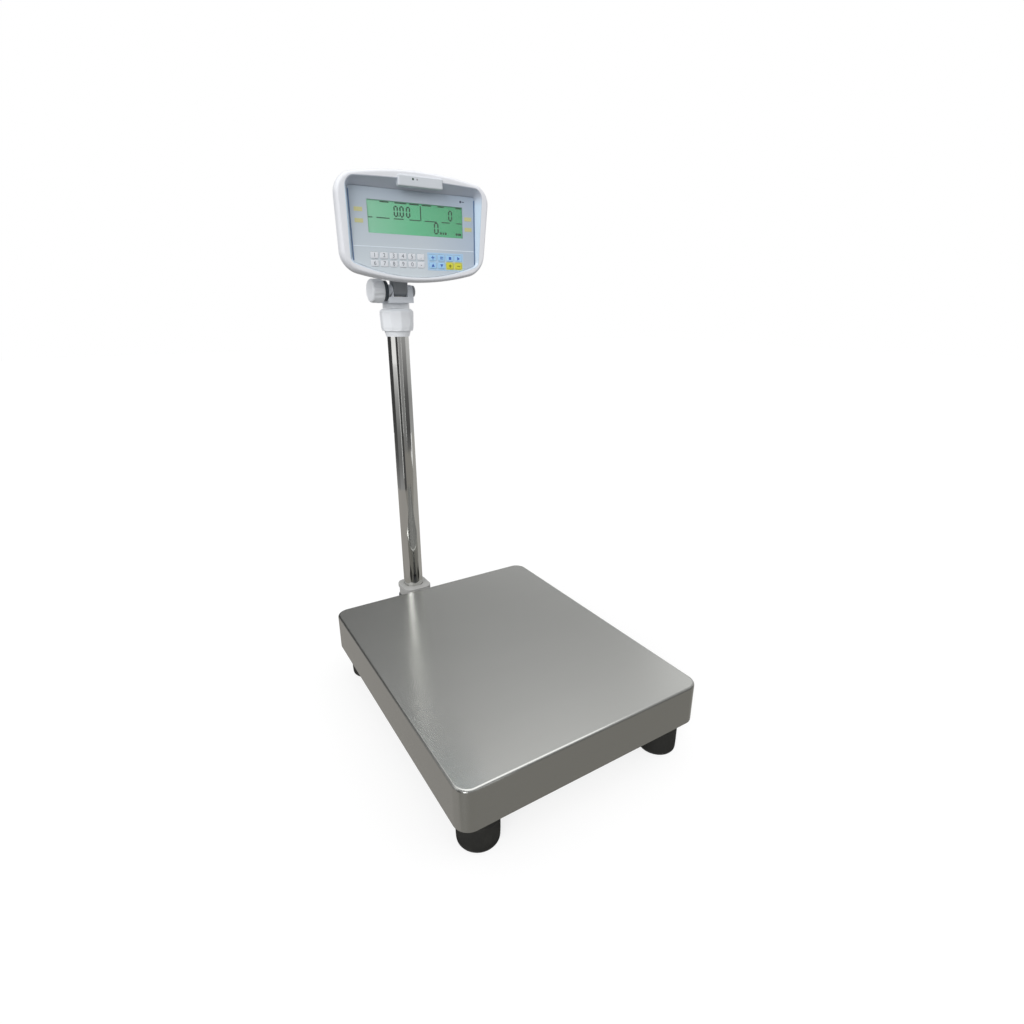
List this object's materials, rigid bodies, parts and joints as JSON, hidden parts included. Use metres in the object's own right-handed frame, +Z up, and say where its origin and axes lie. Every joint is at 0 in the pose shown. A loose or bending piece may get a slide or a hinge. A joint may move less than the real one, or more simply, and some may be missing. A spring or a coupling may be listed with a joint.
{
  "type": "floor counting scale",
  "caption": "Floor counting scale: a low steel weighing platform on levelling feet, with a rear pillar carrying a tilting indicator with a display and keys.",
  "frame": {"origin": "middle of the footprint, on the floor under the feet", "axes": "+Z up, +Y from the operator towards the pillar, +X to the operator's right"},
  "size_m": [0.4, 0.6485, 0.844],
  "materials": {
    "brushed_stainless": "fine brushing across the pan",
    "polished_stainless": "polished",
    "painted_frame": "satin powder coat",
    "zinc_steel": "zinc plated",
    "cell_aluminium": "machined",
    "black_rubber": "matte",
    "grey_plastic": "fine moulded texture",
    "housing_plastic": "fine moulded texture",
    "dark_plastic": "matte",
    "panel_film": "printed film, semi gloss",
    "display_green": "lit green",
    "display_glass": "clear",
    "board_green": "solder mask",
    "white_key": "embossed film",
    "blue_key": "embossed film",
    "yellow_key": "embossed film",
    "level_green": "clear over green fluid"
  },
  "bodies": {
    "base": {"base_frame": "painted_frame", "load_cell": "cell_aluminium", "load_cell_lower_spacer": "zinc_steel", "load_cell_lower_bolts": "zinc_steel", "bubble_level": "level_green", "pillar_bracket": "painted_frame", "pillar_socket": "grey_plastic", "pillar_tube": "polished_stainless", "pillar_collar": "grey_plastic"},
    "platform": {"top_frame": "painted_frame", "load_cell_upper_spacer": "zinc_steel", "load_cell_upper_bolts": "zinc_steel", "pan_pad_front_left": "black_rubber", "pan_pad_front_right": "black_rubber", "pan_pad_back_left": "black_rubber", "pan_pad_back_right": "black_rubber"},
    "pan": {"weighing_pan": "brushed_stainless"},
    "foot_front_left": {"foot_pad_front_left": "black_rubber", "foot_stud_front_left": "zinc_steel"},
    "foot_front_right": {"foot_pad_front_right": "black_rubber", "foot_stud_front_right": "zinc_steel"},
    "foot_back_left": {"foot_pad_back_left": "black_rubber", "foot_stud_back_left": "zinc_steel"},
    "foot_back_right": {"foot_pad_back_right": "black_rubber", "foot_stud_back_right": "zinc_steel"},
    "head": {"swivel_yoke": "grey_plastic", "hinge_nut": "grey_plastic"},
    "clamp": {"clamp_knob": "grey_plastic", "knob_washer": "black_rubber", "hinge_bolt": "zinc_steel"},
    "indicator": {"rear_shell": "housing_plastic", "front_bezel": "housing_plastic", "overlay_panel": "panel_film", "display_window": "display_glass", "display_module": "display_green", "circuit_board": "board_green", "battery": "dark_plastic", "cable_gland": "dark_plastic", "power_inlet": "dark_plastic", "serial_port": "zinc_steel"},
    "number_key_1": {"number_key_1": "white_key"},
    "number_key_2": {"number_key_2": "white_key"},
    "number_key_3": {"number_key_3": "white_key"},
    "number_key_4": {"number_key_4": "white_key"},
    "number_key_5": {"number_key_5": "white_key"},
    "number_key_6": {"number_key_6": "white_key"},
    "number_key_7": {"number_key_7": "white_key"},
    "number_key_8": {"number_key_8": "white_key"},
    "number_key_9": {"number_key_9": "white_key"},
    "number_key_10": {"number_key_10": "white_key"},
    "number_key_11": {"number_key_11": "white_key"},
    "number_key_12": {"number_key_12": "white_key"},
    "function_key_1": {"function_key_1": "blue_key"},
    "function_key_2": {"function_key_2": "blue_key"},
    "function_key_3": {"function_key_3": "blue_key"},
    "function_key_4": {"function_key_4": "blue_key"},
    "function_key_5": {"function_key_5": "blue_key"},
    "function_key_6": {"function_key_6": "blue_key"},
    "function_key_7": {"function_key_7": "yellow_key"},
    "function_key_8": {"function_key_8": "yellow_key"}
  },
  "joints": [
    {"name": "platform_deflection", "type": "slide", "parent": "base", "child": "platform", "axis": [0, 0, -1], "range_m": [0, 0.00025], "stiffness_N_per_m": 2400000},
    {"name": "pan_lift", "type": "slide", "parent": "platform", "child": "pan", "axis": [0, 0, 1], "range_m": [0, 0.07]},
    {"name": "foot_front_left_level", "type": "slide", "parent": "base", "child": "foot_front_left", "axis": [0, 0, -1], "range_m": [0, 0.012]},
    {"name": "foot_front_right_level", "type": "slide", "parent": "base", "child": "foot_front_right", "axis": [0, 0, -1], "range_m": [0, 0.012]},
    {"name": "foot_back_left_level", "type": "slide", "parent": "base", "child": "foot_back_left", "axis": [0, 0, -1], "range_m": [0, 0.012]},
    {"name": "foot_back_right_level", "type": "slide", "parent": "base", "child": "foot_back_right", "axis": [0, 0, -1], "range_m": [0, 0.012]},
    {"name": "head_swivel", "type": "hinge", "parent": "base", "child": "head", "pos_m": [0, 0.293, 0.639], "axis": [0, 0, 1], "range_deg": [-90, 90]},
    {"name": "clamp_knob_turn", "type": "hinge", "parent": "head", "child": "clamp", "pos_m": [-0.045, 0.264, 0.669], "axis": [-1, 0, 0], "range_deg": [0, 270]},
    {"name": "indicator_tilt", "type": "hinge", "parent": "head", "child": "indicator", "pos_m": [0, 0.264, 0.669], "axis": [1, 0, 0], "range_deg": [-60, 20]},
    {"name": "number_key_1_press", "type": "slide", "parent": "indicator", "child": "number_key_1", "axis": [0, 1, 0], "range_m": [0, 0.0005], "stiffness_N_per_m": 3000},
    {"name": "number_key_2_press", "type": "slide", "parent": "indicator", "child": "number_key_2", "axis": [0, 1, 0], "range_m": [0, 0.0005], "stiffness_N_per_m": 3000},
    {"name": "number_key_3_press", "type": "slide", "parent": "indicator", "child": "number_key_3", "axis": [0, 1, 0], "range_m": [0, 0.0005], "stiffness_N_per_m": 3000},
    {"name": "number_key_4_press", "type": "slide", "parent": "indicator", "child": "number_key_4", "axis": [0, 1, 0], "range_m": [0, 0.0005], "stiffness_N_per_m": 3000},
    {"name": "number_key_5_press", "type": "slide", "parent": "indicator", "child": "number_key_5", "axis": [0, 1, 0], "range_m": [0, 0.0005], "stiffness_N_per_m": 3000},
    {"name": "number_key_6_press", "type": "slide", "parent": "indicator", "child": "number_key_6", "axis": [0, 1, 0], "range_m": [0, 0.0005], "stiffness_N_per_m": 3000},
    {"name": "number_key_7_press", "type": "slide", "parent": "indicator", "child": "number_key_7", "axis": [0, 1, 0], "range_m": [0, 0.0005], "stiffness_N_per_m": 3000},
    {"name": "number_key_8_press", "type": "slide", "parent": "indicator", "child": "number_key_8", "axis": [0, 1, 0], "range_m": [0, 0.0005], "stiffness_N_per_m": 3000},
    {"name": "number_key_9_press", "type": "slide", "parent": "indicator", "child": "number_key_9", "axis": [0, 1, 0], "range_m": [0, 0.0005], "stiffness_N_per_m": 3000},
    {"name": "number_key_10_press", "type": "slide", "parent": "indicator", "child": "number_key_10", "axis": [0, 1, 0], "range_m": [0, 0.0005], "stiffness_N_per_m": 3000},
    {"name": "number_key_11_press", "type": "slide", "parent": "indicator", "child": "number_key_11", "axis": [0, 1, 0], "range_m": [0, 0.0005], "stiffness_N_per_m": 3000},
    {"name": "number_key_12_press", "type": "slide", "parent": "indicator", "child": "number_key_12", "axis": [0, 1, 0], "range_m": [0, 0.0005], "stiffness_N_per_m": 3000},
    {"name": "function_key_1_press", "type": "slide", "parent": "indicator", "child": "function_key_1", "axis": [0, 1, 0], "range_m": [0, 0.0005], "stiffness_N_per_m": 3000},
    {"name": "function_key_2_press", "type": "slide", "parent": "indicator", "child": "function_key_2", "axis": [0, 1, 0], "range_m": [0, 0.0005], "stiffness_N_per_m": 3000},
    {"name": "function_key_3_press", "type": "slide", "parent": "indicator", "child": "function_key_3", "axis": [0, 1, 0], "range_m": [0, 0.0005], "stiffness_N_per_m": 3000},
    {"name": "function_key_4_press", "type": "slide", "parent": "indicator", "child": "function_key_4", "axis": [0, 1, 0], "range_m": [0, 0.0005], "stiffness_N_per_m": 3000},
    {"name": "function_key_5_press", "type": "slide", "parent": "indicator", "child": "function_key_5", "axis": [0, 1, 0], "range_m": [0, 0.0005], "stiffness_N_per_m": 3000},
    {"name": "function_key_6_press", "type": "slide", "parent": "indicator", "child": "function_key_6", "axis": [0, 1, 0], "range_m": [0, 0.0005], "stiffness_N_per_m": 3000},
    {"name": "function_key_7_press", "type": "slide", "parent": "indicator", "child": "function_key_7", "axis": [0, 1, 0], "range_m": [0, 0.0005], "stiffness_N_per_m": 3000},
    {"name": "function_key_8_press", "type": "slide", "parent": "indicator", "child": "function_key_8", "axis": [0, 1, 0], "range_m": [0, 0.0005], "stiffness_N_per_m": 3000}
  ]
}
